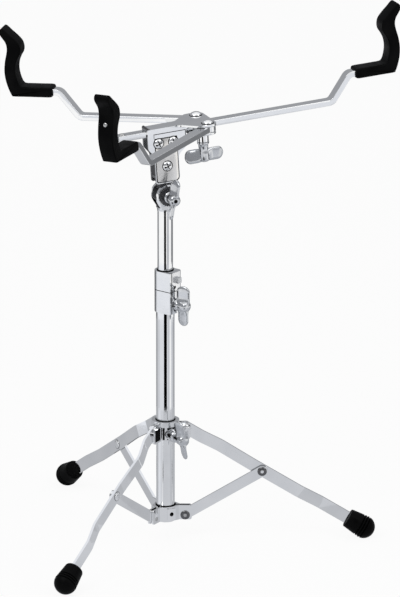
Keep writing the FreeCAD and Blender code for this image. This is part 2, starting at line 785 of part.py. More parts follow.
swing_parts = swing_arm()
for side, sign, spot in (("back", 1, pivot_spots[0]), ("front", -1, pivot_spots[1])):
    lay = Placement(
        spot + Vector(0, 0, arm_plane), Rotation(z_axis, 180 - sign * swing_angle)
    )
    for suffix, shape in zip(["arm_", "grip_"], swing_parts):
        save_basket(suffix + side, moved(shape, lay))
long_lay = Placement(Vector(0, 0, arm_plane), Rotation())
long_bar, long_grip = arm_and_grip(long_tail, long_reach)
stop_spot = Vector(long_tail + 5.0, 0, 0)
stop_radius = 2.0
stop = headed_pin(stop_radius, 3.4, 1.5, -arm_thickness, 0)
stop.translate(stop_spot)
long_bar = long_bar.cut(Part.makeCylinder(stop_radius, 20, stop_spot - Vector(0, 0, 10)))
for name, shape in (("arm_long", long_bar), ("grip_long", long_grip), ("arm_stop", stop)):
    save_basket(name, moved(shape, long_lay))
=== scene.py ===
import json
import math

import bpy
from mathutils import Matrix, Vector


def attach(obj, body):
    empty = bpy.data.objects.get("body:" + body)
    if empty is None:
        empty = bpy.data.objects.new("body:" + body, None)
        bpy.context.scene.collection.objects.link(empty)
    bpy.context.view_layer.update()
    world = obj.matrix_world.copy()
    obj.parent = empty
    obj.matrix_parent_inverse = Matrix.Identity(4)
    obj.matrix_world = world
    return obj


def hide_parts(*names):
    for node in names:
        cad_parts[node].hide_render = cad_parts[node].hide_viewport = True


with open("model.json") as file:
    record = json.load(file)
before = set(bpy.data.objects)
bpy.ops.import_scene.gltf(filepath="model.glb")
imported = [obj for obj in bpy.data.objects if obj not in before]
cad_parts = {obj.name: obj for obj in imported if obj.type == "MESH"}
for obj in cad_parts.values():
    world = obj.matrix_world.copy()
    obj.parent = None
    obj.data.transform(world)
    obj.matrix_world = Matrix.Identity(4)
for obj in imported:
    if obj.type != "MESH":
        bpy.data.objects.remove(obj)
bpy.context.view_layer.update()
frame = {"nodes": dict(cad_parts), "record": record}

scene = bpy.context.scene
scene.view_settings.view_transform = "Standard"

# Camera: a long lens a little above the stand, at the photograph's framing
IMAGE_WIDTH = 400.0
IMAGE_HEIGHT = 597.0
PIXELS_PER_METRE = 976.0
AXIS_PIXEL = 165.27
FLOOR_PIXEL = 539.8
CAMERA_AZIMUTH = math.radians(1.3)
CAMERA_ELEVATION = math.radians(17.0)
CAMERA_DISTANCE = 9.0
SENSOR = 36.0


def add_camera():
    right = Vector((math.cos(CAMERA_AZIMUTH), math.sin(CAMERA_AZIMUTH), 0.0))
    back = Vector((math.sin(CAMERA_AZIMUTH), -math.cos(CAMERA_AZIMUTH), 0.0)) * math.cos(CAMERA_ELEVATION)
    back.z = math.sin(CAMERA_ELEVATION)
    height = (FLOOR_PIXEL - IMAGE_HEIGHT / 2) / (PIXELS_PER_METRE * math.cos(CAMERA_ELEVATION))
    target = Vector((0.0, 0.0, height)) + right * ((IMAGE_WIDTH / 2 - AXIS_PIXEL) / PIXELS_PER_METRE)
    data = bpy.data.cameras.new("camera")
    data.sensor_fit = "HORIZONTAL"
    data.sensor_width = SENSOR
    data.lens = PIXELS_PER_METRE * CAMERA_DISTANCE * SENSOR / IMAGE_WIDTH
    data.clip_end = 100.0
    camera = bpy.data.objects.new("camera", data)
    camera.location = target + back * CAMERA_DISTANCE
    camera.rotation_euler = (-back).to_track_quat("-Z", "Y").to_euler()
    scene.collection.objects.link(camera)
    scene.camera = camera


# Materials: noise scales are per metre of the object's own space, depths in metres
METAL_HAZE_SCALE = 38.0
METAL_GLOSS_SCALE = 90.0
METAL_PEEL_DEPTH = 0.0004
MOULDED_BLOOM_SCALE = 45.0
MOULDED_GLOSS_SCALE = 160.0
MOULDED_PEBBLE_DEPTH = 0.0003
MOULDED_SPECULAR = 0.04


class Nodes:
    """A small helper for building one node tree."""

    def __init__(self, tree):
        self.tree = tree
        tree.nodes.clear()

    def add(self, kind, **values):
        node = self.tree.nodes.new(kind)
        for key, value in values.items():
            if hasattr(node, key):
                setattr(node, key, value)
            else:
                node.inputs[key.replace("_", " ")].default_value = value
        return node

    def link(self, source, target):
        self.tree.links.new(source, target)

    def noise(self, scale, detail):
        coordinates = self.add("ShaderNodeTexCoord")
        texture = self.add("ShaderNodeTexNoise", Scale=scale, Detail=detail)
        self.link(coordinates.outputs["Object"], texture.inputs["Vector"])
        return texture.outputs["Fac"]

    def span(self, value, low, high, new_low, new_high):
        node = self.add("ShaderNodeMapRange", From_Min=low, From_Max=high, To_Min=new_low, To_Max=new_high)
        self.link(value, node.inputs["Value"])
        return node.outputs["Result"]

    def blend(self, value, dark, light):
        node = self.add("ShaderNodeMix", data_type="RGBA")
        colour_inputs = [s for s in node.inputs if s.type == "RGBA"]
        colour_inputs[0].default_value = (*dark, 1.0)
        colour_inputs[1].default_value = (*light, 1.0)
        self.link(value, node.inputs["Factor"])
        return [s for s in node.outputs if s.type == "RGBA"][0]


def new_material(name):
    material = bpy.data.materials.new(name)
    material.use_nodes = True
    return material, Nodes(material.node_tree)


def metal(name, dark, light, rough_low, rough_high, bump, grain=220.0):
    """Plated metal: faint haze in its roughness, a trace of orange peel and slightly dulled patches."""
    material, nodes = new_material(name)
    shader = nodes.add("ShaderNodeBsdfPrincipled", Metallic=1.0)
    output = nodes.add("ShaderNodeOutputMaterial")
    nodes.link(shader.outputs["BSDF"], output.inputs["Surface"])
    haze = nodes.span(nodes.noise(METAL_HAZE_SCALE, 4.0), 0.35, 0.68, 0.0, 1.0)
    nodes.link(nodes.blend(haze, light, dark), shader.inputs["Base Color"])
    gloss = nodes.span(nodes.noise(METAL_GLOSS_SCALE, 5.0), 0.3, 0.7, rough_low, rough_high)
    nodes.link(gloss, shader.inputs["Roughness"])
    peel = nodes.add("ShaderNodeBump", Strength=bump, Distance=METAL_PEEL_DEPTH)
    nodes.link(nodes.noise(grain, 2.0), peel.inputs["Height"])
    nodes.link(peel.outputs["Normal"], shader.inputs["Normal"])
    return material


def moulded(name, dark, light, rough_low, rough_high, bump, grain):
    """Moulded rubber or nylon: fine pebbled grain and a dusty bloom."""
    material, nodes = new_material(name)
    shader = nodes.add("ShaderNodeBsdfPrincipled")
    shader.inputs["Specular IOR Level"].default_value = MOULDED_SPECULAR
    output = nodes.add("ShaderNodeOutputMaterial")
    nodes.link(shader.outputs["BSDF"], output.inputs["Surface"])
    bloom = nodes.span(nodes.noise(MOULDED_BLOOM_SCALE, 6.0), 0.4, 0.75, 0.0, 1.0)
    nodes.link(nodes.blend(bloom, dark, light), shader.inputs["Base Color"])
    gloss = nodes.span(nodes.noise(MOULDED_GLOSS_SCALE, 4.0), 0.3, 0.7, rough_low, rough_high)
    nodes.link(gloss, shader.inputs["Roughness"])
    pebble = nodes.add("ShaderNodeBump", Strength=bump, Distance=MOULDED_PEBBLE_DEPTH)
    nodes.link(nodes.noise(grain, 3.0), pebble.inputs["Height"])
    nodes.link(pebble.outputs["Normal"], shader.inputs["Normal"])
    return material


chrome = metal("chrome", (0.86, 0.87, 0.88), (0.93, 0.935, 0.94), 0.02, 0.07, 0.03)
cast_chrome = metal("cast_chrome", (0.80, 0.81, 0.82), (0.88, 0.885, 0.89), 0.04, 0.12, 0.06, 420.0)
wing_metal = metal("wing_metal", (0.56, 0.575, 0.595), (0.68, 0.695, 0.715), 0.10, 0.20, 0.06, 420.0)
nickel = metal("nickel", (0.46, 0.46, 0.46), (0.60, 0.60, 0.59), 0.16, 0.30, 0.08, 600.0)
rubber = moulded("rubber", (0.0012, 0.0012, 0.0014), (0.004, 0.004, 0.0042), 0.34, 0.52, 0.12, 900.0)
nylon = moulded("nylon", (0.03, 0.03, 0.032), (0.05, 0.05, 0.052), 0.40, 0.55, 0.08, 500.0)
plate_nickel = metal("plate_nickel", (0.80, 0.785, 0.76), (0.88, 0.865, 0.84), 0.14, 0.24, 0.06, 500.0)
# Painted shade: a near-black finish for dark pieces set where shade falls, in gaps, seams, holes, hollows and
# screw recesses, and as dark outlines round the domes and the cheek facing
shadow = moulded("recess_shade", (0.004, 0.004, 0.004), (0.008, 0.008, 0.008), 0.5, 0.7, 0.02, 400.0)
satin = metal("satin", (0.74, 0.75, 0.76), (0.84, 0.85, 0.86), 0.38, 0.52, 0.05)
# Painted shade: a dark metal for the dark rings drawn round the rivet and pin heads
rivet_rim_shade = metal("rivet_rim_shade", (0.13, 0.13, 0.135), (0.21, 0.21, 0.215), 0.18, 0.32, 0.05, 600.0)
# A near-black metal: painted shade on the tilter arm, for the shadowed space between the cheeks; the tilt
# ratchet and the cover's rolled lip are drawn dark in it as well
dark_metal_and_shade = metal("rim", (0.07, 0.07, 0.075), (0.14, 0.14, 0.145), 0.18, 0.32, 0.05, 600.0)

BY_SLOT = {"chrome": chrome, "nickel": nickel, "rubber": rubber, "nylon": nylon}
# The tilter arm is darkened as painted shade; the tilt ratchet is drawn dark
BY_NODE = {"tilt_fork": cast_chrome, "leg_wing_bolt": cast_chrome, "height_wing_bolt": cast_chrome,
           "tilt_wing_bolt": cast_chrome, "basket_wing_bolt": cast_chrome, "leg_hub": cast_chrome,
           "height_clamp": cast_chrome, "memory_lock": cast_chrome, "memory_key_bolt": satin,
           "tilter_arm": dark_metal_and_shade, "tilt_ratchet": dark_metal_and_shade}
node_slots = {entry["node"]: entry["material_slot"] for entry in frame["record"]["subparts"]}
for node_name, node_object in frame["nodes"].items():
    finish = BY_NODE.get(node_name, BY_SLOT[node_slots[node_name]])
    node_object.data.materials.clear()
    node_object.data.materials.append(finish)

# Softened edges on the plated pieces, as a width in millimetres and the nodes that have it
EDGES = [
    (0.6, ("height_clamp", "memory_lock", "tilt_fork")),
    (0.5, ("leg_hub", "basket_bracket", "basket_plate", "arm_long", "arm_back", "arm_front", "clamp_boss")),
    (0.35, ("hub_plate_back", "hub_plate_left", "hub_plate_front")),
]
MM = 0.001
WELD_GAP = 0.000002
BEVEL_ANGLE = math.radians(50)
SHARP_ANGLE = math.radians(38)


def soften_edges(node_object, width):
    weld = node_object.modifiers.new("weld", "WELD")
    weld.merge_threshold = WELD_GAP
    soften = node_object.modifiers.new("soften", "BEVEL")
    soften.width = width * MM
    soften.segments = 2
    soften.limit_method = "ANGLE"
    soften.angle_limit = BEVEL_ANGLE
    soften.harden_normals = False
    even = node_object.modifiers.new("even", "WEIGHTED_NORMAL")
    even.keep_sharp = False
    even.weight = 80


for width, node_names in EDGES:
    for node_name in node_names:
        soften_edges(frame["nodes"][node_name], width)


class Piece:
    """Points and faces of one visual piece, in millimetres of the stand's frame."""

    def __init__(self):
        self.points = []
        self.faces = []
        self.slots = []

    def add(self, points, faces, matrix, slot=0):
        start = len(self.points)
        self.points += [matrix @ Vector(p) for p in points]
        self.faces += [[start + i for i in face] for face in faces]
        self.slots += [slot] * len(faces)

    def finish(self, name, body, materials, slot, *nodes):
        mesh = bpy.data.meshes.new(name)
        mesh.from_pydata([p * MM for p in self.points], [], self.faces)
        for material in materials:
            mesh.materials.append(material)
        mesh.polygons.foreach_set("material_index", self.slots)
        mesh.polygons.foreach_set("use_smooth", [True] * len(self.faces))
        mesh.update()
        mesh.set_sharp_from_angle(angle=SHARP_ANGLE)
        piece = bpy.data.objects.new(name, mesh)
        scene.collection.objects.link(piece)
        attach(piece, body)
        if nodes:
            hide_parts(*nodes)


def ring_faces(rings, size):
    """Faces that join rings of so many points each, closed at both ends."""
    faces = []
    for i in range(rings - 1):
        for k in range(size):
            n = (k + 1) % size
            faces.append((i * size + k, i * size + n, (i + 1) * size + n, (i + 1) * size + k))
    faces.append(tuple(range(size))[::-1])
    last = (rings - 1) * size
    faces.append(tuple(last + k for k in range(size)))
    return faces


def turned_over(faces):
    return [face[::-1] for face in faces]


def turned(profile, sides=48):
    """Points and faces of (along, radius) stations turned about X, closed at both ends."""
    points = []
    for along, radius in profile:
        for k in range(sides):
            angle = 2 * math.pi * k / sides
            points.append((along, radius * math.cos(angle), radius * math.sin(angle)))
    return points, ring_faces(len(profile), sides)


def inset_outline(corners, inset, arc):
    """The (u, v, radius) outline, counter-clockwise, moved inwards, with arc points per corner."""
    count = len(corners)
    normals = []
    for i in range(count):
        a = Vector(corners[i][:2])
        b = Vector(corners[(i + 1) % count][:2])
        d = (b - a).normalized()
        normals.append(Vector((-d.y, d.x)))
    moved = []
    for i in range(count):
        n0 = normals[i - 1]
        n1 = normals[i]
        moved.append(Vector(corners[i][:2]) + (n0 + n1) * (inset / (1 + n0.dot(n1))))
    points = []
    for i in range(count):
        here = moved[i]
        back = (moved[i - 1] - here).normalized()
        ahead = (moved[(i + 1) % count] - here).normalized()
        convex = normals[i - 1].dot(ahead) > 0
        radius = max(corners[i][2] - inset, 0.08) if convex else corners[i][2] + inset
        half = back.angle(ahead) / 2
        reach = radius / math.tan(half)
        centre = here + (back + ahead).normalized() * (radius / math.sin(half))
        first = here + back * reach - centre
        last = here + ahead * reach - centre
        sweep = first.angle_signed(last)
        for k in range(arc):
            swing = Matrix.Rotation(-sweep * k / (arc - 1), 2)
            points.append(centre + swing @ first)
    return points


def smooth_outline(spots, inset, steps=6):
    """A closed smooth curve through the spots, counter-clockwise, moved inwards."""
    count = len(spots)
    curve = []
    for i in range(count):
        a, b, c, d = [Vector(spots[(i + k) % count]) for k in (-1, 0, 1, 2)]
        for k in range(steps):
            s = k / steps
            pull = (c - a) * s + (2 * a - 5 * b + 4 * c - d) * s * s + (3 * b - a - 3 * c + d) * s * s * s
            curve.append(b + 0.5 * pull)
    moved = []
    for i, spot in enumerate(curve):
        along = (curve[(i + 1) % len(curve)] - curve[i - 1]).normalized()
        moved.append(spot + Vector((-along.y, along.x)) * inset)
    return moved


def slab(outline, half, edge, steps=6):
    """A plate with the outline in XZ, centred on Y, whose rims are rounded over the edge's width."""
    levels = []
    for k in range(steps + 1):
        t = math.pi / 2 * k / steps
        levels.append((edge * (1 - math.cos(t)), half - edge + edge * math.sin(t)))
    rings = [(inset, -y) for inset, y in reversed(levels)] + levels
    points = []
    for inset, y in rings:
        ring = outline(inset)
        points += [(p.x, y, p.y) for p in ring]
    return points, turned_over(ring_faces(len(rings), len(ring)))


def block(x0, x1, y0, y1, z0, z1):
    points = [(x, y, z) for x in (x0, x1) for y in (y0, y1) for z in (z0, z1)]
    faces = [(0, 1, 3, 2), (4, 6, 7, 5), (0, 4, 5, 1), (2, 3, 7, 6), (0, 2, 6, 4), (1, 5, 7, 3)]
    return points, faces


def curved_panel(radius, first, last, low, high, steps=12):
    """A thin curved plate in a cylinder's face, between two azimuths and two heights."""
    inner = radius - 0.3
    points = []
    for k in range(steps + 1):
        angle = math.radians(first + (last - first) * k / steps)
        for r, z in ((radius, low), (radius, high), (inner, high), (inner, low)):
            points.append((r * math.cos(angle), r * math.sin(angle), z))
    return points, turned_over(ring_faces(steps + 1, 4))


# A dome's profile as shares of its height and radius
DOME = [(0, 1.0), (0.12, 1.0), (0.36, 0.955), (0.6, 0.83),
        (0.8, 0.64), (0.94, 0.38), (0.99, 0.16), (1.0, 0.02)]


def dome(radius, height):
    return turned([(height * a, radius * r) for a, r in DOME])


def place(x, y, z):
    return Matrix.Translation((x, y, z))


def turn(angle, axis):
    return Matrix.Rotation(math.radians(angle), 4, axis)


# The stand's own measures, in millimetres and degrees
TILT_HEIGHT = 370.1
TILT_TURN = 23.1
TILT_LEAN = -3.6
CLAMP_TURN = -37.7
ARM_PLANE = 70.5
ARM_PIVOT_X = 44.8
ARM_PIVOT_Y = 16.2
ARM_SPREAD = 38.1
COVER_TOP = 72.9
PLATE_FOOT = 61.2
CHEEK_FACE = -7.8
LEG_PIN_RADIUS = 20.4
LEG_PIN_HEIGHT = 121.0
HUB_PIN_HEIGHT = 26.6
LINK_RISE = 47.2
LINK_RUN = 79.3
LINK_LENGTH = 92.28
LEG_SLOPE = math.degrees(math.atan2(LINK_RISE, LINK_RUN))
LEG_SIDES = ("right", "back", "front")
THIRDS = (0, 120, 240)

BASKET = place(0, 0, TILT_HEIGHT) @ turn(TILT_TURN, "Z") @ turn(TILT_LEAN, "Y")
CLAMP = turn(CLAMP_TURN, "Z")
UP = turn(-90, "Y")
NEAR = turn(-90, "Z")
FAR = turn(90, "Z")


def leg_frame(azimuth):
    """A leg's own frame: X runs down the leg from its pin in the leg hub."""
    return turn(azimuth, "Z") @ place(LEG_PIN_RADIUS, 0, LEG_PIN_HEIGHT) @ turn(LEG_SLOPE, "Y")


# Grips: the side outline as (outwards, up) from the foot of the upright
GRIP_RISE = 18.5
GRIP_HALF_WIDTH = 8.8
GRIP_ROUNDING = 1.7
GRIP_CURVE = [
    (-1.9, 0.0), (0.4, 1.4), (3.6, 9.0), (5.9, 18.0), (6.6, 27.0), (5.4, 37.0), (3.2, 46.0), (2.5, 52.0),
    (3.7, 57.5), (7.2, 62.8), (9.2, 66.0), (9.6, 69.0), (8.2, 71.8), (5.4, 72.3), (0.0, 67.4), (-6.6, 61.4),
    (-10.8, 56.2), (-12.2, 50.5), (-11.4, 45.3), (-8.6, 40.5), (-6.4, 35.5), (-5.3, 30.0), (-5.3, 25.0),
    (-6.1, 20.0), (-7.6, 15.0), (-9.2, 12.0), (-11.8, 10.6), (-20.0, 10.5), (-30.0, 10.5), (-40.2, 10.5),
    (-42.8, 9.3), (-43.4, 6.0), (-43.3, 2.2), (-41.4, 0.2), (-30.0, 0.0), (-15.0, 0.0),
]
GRIP_SCREW_OUT = 4.4
GRIP_SCREW_UP = 40.5
GRIP_SCREW_LEAN = -13
LONG_REACH = 257.5
SHORT_REACH = 193.5


def add_grip(name, body, node, lay, reach):
    piece = Piece()
    spots = [(reach + a, GRIP_RISE + h) for a, h in GRIP_CURVE]
    shape = slab(lambda inset: smooth_outline(spots, inset), GRIP_HALF_WIDTH, GRIP_ROUNDING)
    piece.add(*shape, BASKET @ lay)
    piece.finish(name, body, [rubber], "rubber", node)
    screw = Piece()
    seat = place(reach + GRIP_SCREW_OUT, 0, GRIP_RISE + GRIP_SCREW_UP) @ turn(GRIP_SCREW_LEAN, "Y")
    screw.add(*dome(2.3, 1.1), BASKET @ lay @ seat)
    screw.finish(name + "_screw", body, [nickel], "nickel")


add_grip("grip_pad_long", "long_arm", "grip_long", place(0, 0, ARM_PLANE), LONG_REACH)
add_grip("grip_pad_back", "back_arm", "grip_back",
         place(ARM_PIVOT_X, ARM_PIVOT_Y, ARM_PLANE) @ turn(180 - ARM_SPREAD, "Z"), SHORT_REACH)
add_grip("grip_pad_front", "front_arm", "grip_front",
         place(ARM_PIVOT_X, -ARM_PIVOT_Y, ARM_PLANE) @ turn(180 + ARM_SPREAD, "Z"), SHORT_REACH)

# Wing bolts: distances of a paddle's stations from the bolt's axis, and its half thicknesses
PADDLE_START = 2.0
PADDLE_LENGTH = 18.95
PADDLE_ROOT_END = 9.5
PADDLE_ROOT_LENGTH = 7.5
PADDLE_TIP_START = 15.0
PADDLE_TIP_LENGTH = 6.0
PADDLE_HALF = 1.9
PADDLE_ROOT_HALF = 2.6
PADDLE_WAIST = 0.14
PADDLE_ROUNDING = 0.6
PADDLE_BEHIND = 14.0
PADDLE_AHEAD = 0.6
PADDLE_TWIST = 12
SHANK_RADIUS = 4.0


def rounded(value):
    """A cosine or sine made fuller, for an oval with squarer sides."""
    return math.copysign(abs(value) ** PADDLE_ROUNDING, value)


def paddle(low, high):
    """One wing of a wing bolt along Z: thick at its root, flat in the middle and rounded at the tip."""
    rows = 30
    sides = 40
    points = []
    for i in range(rows + 1):
        z = PADDLE_START + PADDLE_LENGTH * math.sin(math.pi / 2 * i / rows)
        root = max(0.0, (PADDLE_ROOT_END - z) / PADDLE_ROOT_LENGTH) ** 2
        fall = math.sqrt(1.0 - max(0.0, (z - PADDLE_TIP_START) / PADDLE_TIP_LENGTH) ** 2)
        width = (high - low) / 2 * fall * (1.0 - PADDLE_WAIST * root)
        thick = (PADDLE_HALF + PADDLE_ROOT_HALF * root) * fall ** PADDLE_ROUNDING
        for k in range(sides):
            angle = 2 * math.pi * k / sides
            x = (low + high) / 2 + width * rounded(math.cos(angle))
            points.append((x, thick * rounded(math.sin(angle)), z))
    return points, ring_faces(rows + 1, sides)


def add_wing(name, body, node, lay, shank, hub, lobe):
    """A wing bolt along X: turned hub, two rounded paddles and its shank."""
    piece = Piece()
    profile = [(0, 6.2), (1.5, 6.2), (2.1, 5.7), (3.2, 5.1), (lobe, 4.9), (lobe + 2.5, 5.4),
               (hub - 3.0, 6.0), (hub - 1.4, 5.6), (hub - 0.4, 4.5), (hub, 3.2)]
    piece.add(*turned(profile), lay)
    low = hub - PADDLE_BEHIND
    high = hub + PADDLE_AHEAD
    middle = (low + high) / 2
    wing = paddle(low, high)
    twist = place(middle, 0, 0) @ turn(PADDLE_TWIST, "Z") @ place(-middle, 0, 0)
    for half_turn in (0, 180):
        piece.add(*wing, lay @ turn(half_turn, "X") @ twist)
    end = [(-shank, SHANK_RADIUS - 0.6), (-shank + 0.6, SHANK_RADIUS), (0.2, SHANK_RADIUS)]
    piece.add(*turned(end), lay)
    piece.finish(name, body, [wing_metal], "chrome", node)


TILT_WING = place(0, -12.6, TILT_HEIGHT) @ NEAR @ turn(-9, "X")
TILT_WING_HUB = 17.0
add_wing("wing_leg", "leg_wing", "leg_wing_bolt",
         turn(-60, "Z") @ place(20.9, 0, 116.0) @ turn(11, "X"), 10.9, 21.0, 8.0)
add_wing("wing_height", "height_wing", "height_wing_bolt", CLAMP @ place(15.4, 0, 255.0), 5.4, 15.0, 4.5)
add_wing("wing_tilt", "tilt_wing", "tilt_wing_bolt",
         turn(TILT_TURN, "Z") @ TILT_WING, 30.0, TILT_WING_HUB, 4.0)
# Painted shade: a dark disc in the end of the tilt wing bolt's hub, for the shade in its socket
socket_shade = Piece()
socket_shade.add(*turned([(TILT_WING_HUB - 0.4, 2.0), (TILT_WING_HUB + 0.05, 2.0)], 24),
           turn(TILT_TURN, "Z") @ TILT_WING)
socket_shade.finish("wing_tilt_socket_shade", "tilt_wing", [shadow], "nylon")
add_wing("wing_basket", "basket_wing", "basket_wing_bolt",
         BASKET @ place(ARM_PIVOT_X, 0, 48.6) @ turn(90, "Y"), 15.4, 21.0, 8.0)

# Boots: stations run along the leg, and the round end is worn flat on the floor
BOOT_LENGTH = 19.0
BOOT_MOUTH_RADIUS = 9.9
BOOT_LIP = 1.5
BALL_RADIUS = 12.0
BALL_HEIGHT = 12.3
BALL_AHEAD = 1.4
BALL_SIDE_PART = 5.0
BOOT_ASIDE = 6.6
GROOVES = (-4.4, -1.6, 1.2)
GROOVE_HALF_WIDTH = 0.95
GROOVE_HALF_DEPTH = 0.75
BOOT_STATIONS = 120


def add_boot(side, azimuth):
    """A rubber boot: tapered, with three ring grooves and a ball at its end."""
    end = (LEG_PIN_HEIGHT - BALL_HEIGHT) / math.sin(math.radians(LEG_SLOPE)) + BALL_AHEAD
    mouth = end - BOOT_LENGTH
    profile = [(mouth + 0.5, 8.2), (mouth, 8.8), (mouth + 0.2, 9.5), (mouth + 1.0, BOOT_MOUTH_RADIUS)]
    taper = BALL_RADIUS - BOOT_MOUTH_RADIUS
    straight = end - mouth - BOOT_LIP
    for k in range(BOOT_STATIONS + 1):
        along = mouth + BOOT_LIP + (straight + BALL_SIDE_PART) * k / BOOT_STATIONS
        ball = max(0.0, along - end)
        radius = BOOT_MOUTH_RADIUS + taper * (along - ball - mouth - BOOT_LIP) / straight
        radius -= BALL_RADIUS - math.sqrt(BALL_RADIUS ** 2 - ball * ball)
        for groove in GROOVES:
            near = abs(along - end - groove)
            if near < GROOVE_HALF_WIDTH:
                radius -= GROOVE_HALF_DEPTH * (1 + math.cos(math.pi * near / GROOVE_HALF_WIDTH))
        profile.append((along, radius))
    for k in range(1, 13):
        angle = math.acos(BALL_SIDE_PART / BALL_RADIUS) * (1 - k / 12.5)
        profile.append((end + BALL_RADIUS * math.cos(angle), BALL_RADIUS * math.sin(angle)))
    piece = Piece()
    piece.add(*turned(profile, 64), leg_frame(azimuth) @ place(0, BOOT_ASIDE, 0))
    for point in piece.points:
        point.z = max(point.z, 0.0)
    piece.finish("boot_" + side, side + "_leg", [rubber], "rubber", "foot_" + side)


for side, azimuth in zip(LEG_SIDES, THIRDS):
    add_boot(side, azimuth)

# Bracket: domed arm pivots, nickel facing of the near cheek with a painted dark outline, a rolled lip drawn
# in dark metal, and cross-headed screws with painted shade in their recesses and round their heads
for side, y in (("back", ARM_PIVOT_Y), ("front", -ARM_PIVOT_Y)):
    rivet = Piece()
    rivet.add(*dome(6.2, 3.4), BASKET @ place(ARM_PIVOT_X, y, COVER_TOP) @ UP)
    shank = turned([(0, 4.0), (COVER_TOP - PLATE_FOOT, 4.0)])
    rivet.add(*shank, BASKET @ place(ARM_PIVOT_X, y, PLATE_FOOT) @ UP)
    rivet.finish("rivet_dome_" + side, "basket", [chrome], "nickel", "pivot_rivet_" + side)

FACING_LEFT = -11.0
FACING_RIGHT = 14.0
FACING_LOW = 15.0
FACING_HIGH = 62.6
facing = Piece()
# The larger sheet behind, in the near-black finish, is painted shade: a dark outline round the nickel facing
for inset, low, high, slot in ((0.0, -7.9, -7.8, 1), (0.9, -8.1, -7.85, 0)):
    sheet = [(FACING_LEFT + inset, FACING_LOW + inset, 2.4),
             (FACING_RIGHT - inset, FACING_LOW + inset, 3.4),
             (FACING_RIGHT - inset, FACING_HIGH - inset, 1.0),
             (FACING_LEFT + inset, FACING_HIGH - inset, 1.0)]
    facing.add(*slab(lambda rim: inset_outline(sheet, rim, 7), (high - low) / 2, 0.04, 2),
               BASKET @ place(0, (low + high) / 2, 0), slot)
facing.finish("cheek_facing", "basket", [plate_nickel, shadow], "nickel")

# The rolled lip is drawn in the near-black metal
roll = Piece()
roll.add(*turned([(-7.7, 1.1), (-7.3, 1.7), (7.3, 1.7), (7.7, 1.1)], 32),
         BASKET @ place(-16.5, 0, 72.5) @ FAR)
roll.finish("cover_roll", "basket", [dark_metal_and_shade], "chrome")

SCREW_SPOTS = ((-6.5, 57.0), (9.5, 57.0), (1.5, 32.0))
CROSS_BAR = [(-0.55, -3.1, 0.2), (0.55, -3.1, 0.2), (0.55, 3.1, 0.2), (-0.55, 3.1, 0.2)]
CROSS_TURNS = (20, 110)
for k, (x, z) in enumerate(SCREW_SPOTS):
    lay = BASKET @ place(x, CHEEK_FACE, z) @ NEAR
    screw = Piece()
    screw.add(*dome(5.2, 2.5), lay)
    screw.finish("tilter_screw_%d" % k, "basket", [chrome], "nickel")
    # Painted shade: a dark cross for the shade in each screw's recess and a dark ring round its head
    recess_shade = Piece()
    for quarter in CROSS_TURNS:
        recess_shade.add(*slab(lambda inset: inset_outline(CROSS_BAR, inset, 3), 0.3, 0.02),
                   lay @ place(2.28, 0, 0) @ NEAR @ turn(quarter, "Y"))
    recess_shade.add(*turned([(0, 5.8), (0.4, 5.8), (0.5, 5.5)]), lay)
    recess_shade.finish("tilter_recess_shade_%d" % k, "basket", [shadow], "nickel")

# Painted shade: a dark plug in each hole of the lower hub, for the shade inside it
for k, azimuth in enumerate(THIRDS):
    hole_shade = Piece()
    hole_shade.add(*turned([(11.5, 2.2), (13.46, 2.2)], 32), turn(60 + azimuth, "Z") @ place(0, 0, 29.4))
    hole_shade.finish("hub_hole_shade_%d" % k, "base", [shadow], "nylon")


def add_shade_pieces(name, body, *parts, finish=shadow):
    """Painted shade in gaps, hollows and rims, as dark pieces; each part is (points and faces, placement)."""
    piece = Piece()
    for shape, lay in parts:
        piece.add(*shape, lay)
    piece.finish(name, body, [finish], "nylon")


# Gaps, seams and hollows: painted shade, thin dark pieces that stand a hair proud of the metal
SLIT = (-8.38, -7.22)
SEAM = (269.25, 269.98)
SEAM_INSIDE = (269.27, 269.96)
SCREW_HOLE = turned([(10.6, 1.74), (14.7, 1.74)], 24)
CHEEK_SEAM = (-7.95, -7.75)
CHEEK_SEAM_INSIDE = (-7.94, -7.76)
add_shade_pieces("clamp_gap_shade", "base",
           (block(9.0, 14.95, *SLIT, 246.0, 269.6), CLAMP),
           (block(0.0, 15.03, -10.83, 4.8, *SEAM), CLAMP),
           (block(0.02, 9.8, 4.7, 9.83, *SEAM_INSIDE), CLAMP),
           (turned([(SEAM[0], 11.03), (SEAM[1], 11.03)]), UP),
           (SCREW_HOLE, CLAMP @ place(0, -2.6, 250.0)),
           (turned([(37.0, 10.4), (37.7, 10.4)]), UP))
add_shade_pieces("cheek_seam_shade", "basket",
           (block(-11.4, 23.6, *CHEEK_SEAM, 66.8, 67.5), BASKET),
           (block(22.9, 23.58, *CHEEK_SEAM_INSIDE, 52.5, 66.9), BASKET),
           (block(-11.38, -10.9, *CHEEK_SEAM_INSIDE, 62.6, 66.9), BASKET))
add_shade_pieces("lock_gap_shade", "lock",
           (block(8.6, 14.95, *SLIT, 270.2, 289.5), CLAMP),
           (SCREW_HOLE, CLAMP @ place(0, -2.8, 274.0)),
           (turned([(289.7, 8.8), (290.3, 8.8)]), UP))
add_shade_pieces("leg_hub_gap_shade", "sliding_hub",
           (turned([(129.0, 10.4), (129.5, 10.4)]), UP),
           *[(block(13.4, 23.2, 2.1, 2.2, 110.0, 122.4), turn(azimuth, "Z")) for azimuth in THIRDS],
           *[(curved_panel(12.38, first, last, 110.0, 123.0), turn(azimuth, "Z"))
             for azimuth in THIRDS for first, last in ((18, 28), (40, 102))])

